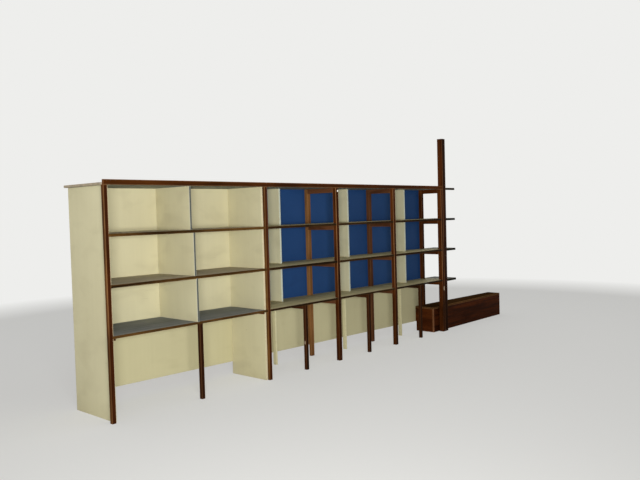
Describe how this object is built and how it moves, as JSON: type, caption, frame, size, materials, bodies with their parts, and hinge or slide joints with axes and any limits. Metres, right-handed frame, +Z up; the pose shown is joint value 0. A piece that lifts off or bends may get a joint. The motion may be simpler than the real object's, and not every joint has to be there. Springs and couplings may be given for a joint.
{
  "type": "shop wall shelving unit",
  "caption": "Built-in shop wall shelving in varnished timber frames with painted boards and backs, a floor-to-ceiling end post and a low end box, cut to a slanting wall.",
  "frame": {"origin": "middle of the bottom of the unit's bounding box, on the floor", "axes": "+X along the shelving to the right as seen from the shop, +Y back to the wall, +Z up"},
  "size_m": [6.59, 0.615, 2.53],
  "materials": {
    "varnish": "dark red-brown varnish",
    "shelf_paint": "worn grey-brown paint",
    "cream_paint": "eggshell cream paint",
    "blue_paint": "satin blue paint",
    "pale_wood": "rubbed pale wood"
  },
  "bodies": {
    "root": {"top_fascia": "varnish", "upper_edging": "varnish", "middle_edging": "varnish", "lower_edging": "varnish", "left_end_stile": "varnish", "shelf_battens": "varnish", "divider_leg": "varnish", "partition_stile": "varnish", "partition_rails": "varnish", "frame_1_front_post": "varnish", "frame_1_back_post": "varnish", "frame_1_rails": "varnish", "frame_2_front_post": "varnish", "frame_2_back_post": "varnish", "frame_2_rails": "varnish", "frame_3_front_post": "varnish", "frame_3_back_post": "varnish", "frame_3_rails": "varnish", "tall_end_post": "varnish", "bay_3_leg": "varnish", "bay_4_leg": "varnish", "bay_5_leg": "varnish", "leg_rails": "varnish", "box_front": "varnish", "box_left_end": "varnish", "box_right_end": "varnish", "box_lid": "varnish", "top_board": "shelf_paint", "upper_shelf_left": "shelf_paint", "middle_shelf_left": "shelf_paint", "lower_shelf_left": "shelf_paint", "upper_shelf_right": "shelf_paint", "middle_shelf_right": "shelf_paint", "lower_shelf_right": "shelf_paint", "left_end_panel": "cream_paint", "upper_divider": "cream_paint", "middle_divider": "cream_paint", "lower_divider": "cream_paint", "partition_panel": "cream_paint", "bay_3_wall_boards": "cream_paint", "bay_4_wall_boards": "cream_paint", "bay_5_wall_boards": "cream_paint", "wall_legs": "cream_paint", "bay_1_back": "cream_paint", "bay_2_back": "cream_paint", "lower_linings": "cream_paint", "bay_3_back": "blue_paint", "bay_4_back": "blue_paint", "bay_5_back": "blue_paint", "box_corner_trim": "pale_wood"}
  },
  "joints": []
}
